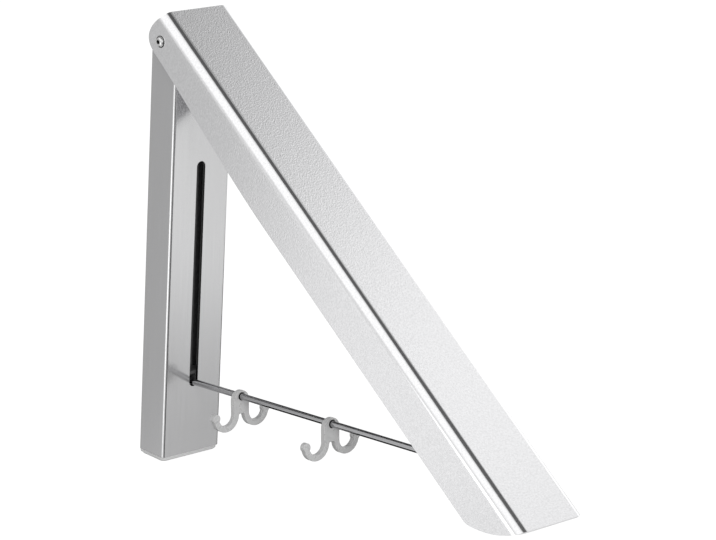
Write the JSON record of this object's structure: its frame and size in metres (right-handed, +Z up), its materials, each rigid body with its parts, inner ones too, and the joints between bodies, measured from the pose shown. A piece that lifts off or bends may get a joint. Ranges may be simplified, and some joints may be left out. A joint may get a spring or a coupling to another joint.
{
  "type": "folding wall drying rack",
  "caption": "Slim aluminium wall rack: an arm folds out from a slotted wall channel and holds a steel rod with sliding hooks for drying clothes on hangers.",
  "frame": {"origin": "on the wall plane, midway between the two wall screw holes", "axes": "+Z up, +Y into the wall, so the rack stands out towards -Y; X runs along the wall"},
  "size_m": [0.0478, 0.2874, 0.2452],
  "materials": {
    "housing_aluminium": "fine satin anodised",
    "arm_aluminium": "bead-blasted and anodised",
    "cap_plastic": "pale moulded plastic",
    "plate_steel": "zinc plated sheet",
    "screw_steel": "turned stainless",
    "rod_chrome": "polished",
    "black_plastic": "moulded acetal",
    "bush_nylon": "natural nylon",
    "hook_plastic": "pale translucent moulded"
  },
  "bodies": {
    "root": {"housing": "housing_aluminium", "top_cap": "cap_plastic", "bottom_cap": "cap_plastic", "wall_plate_upper": "plate_steel", "wall_plate_lower": "plate_steel", "locking_screw": "screw_steel", "slide_track_left": "black_plastic", "slide_track_right": "black_plastic", "pivot_bush_left": "bush_nylon", "pivot_bush_right": "bush_nylon"},
    "arm": {"arm_channel": "arm_aluminium", "pivot_barrel": "screw_steel", "pivot_screw_left": "screw_steel", "pivot_screw_right": "screw_steel", "rod_bracket": "plate_steel", "rod_pin": "screw_steel", "rod_pin_clip": "screw_steel"},
    "rod": {"hanging_rod": "rod_chrome"},
    "slider": {"slider": "black_plastic"},
    "hook_inner": {"hook_inner": "hook_plastic"},
    "hook_outer": {"hook_outer": "hook_plastic"}
  },
  "joints": [
    {"name": "arm_fold", "type": "hinge", "parent": "root", "child": "arm", "pos_m": [0, -0.0099, 0.1192], "axis": [1, 0, 0], "range_deg": [0, 50.6]},
    {"name": "rod_swing", "type": "hinge", "parent": "arm", "child": "rod", "pos_m": [0, -0.24592, -0.05102], "axis": [1, 0, 0], "range_deg": [0, 40.34]},
    {"name": "slider_travel", "type": "slide", "parent": "root", "child": "slider", "axis": [0, 0, 1], "range_m": [0, 0.12895]},
    {"name": "hook_inner_slide", "type": "slide", "parent": "rod", "child": "hook_inner", "axis": [0, -0.9972, 0.0753], "range_m": [0, 0.153]},
    {"name": "hook_outer_slide", "type": "slide", "parent": "rod", "child": "hook_outer", "axis": [0, -0.9972, 0.0753], "range_m": [0, 0.099]}
  ],
  "couplings": [
    {"joint": "rod_swing", "follows": "arm_fold", "ratio": 0.79726},
    {"joint": "slider_travel", "follows": "arm_fold", "m_per_rad": 0.14601},
    {"joint": "hook_inner_slide", "follows": "arm_fold", "m_per_rad": 0.17325},
    {"joint": "hook_outer_slide", "follows": "arm_fold", "m_per_rad": 0.1121}
  ]
}
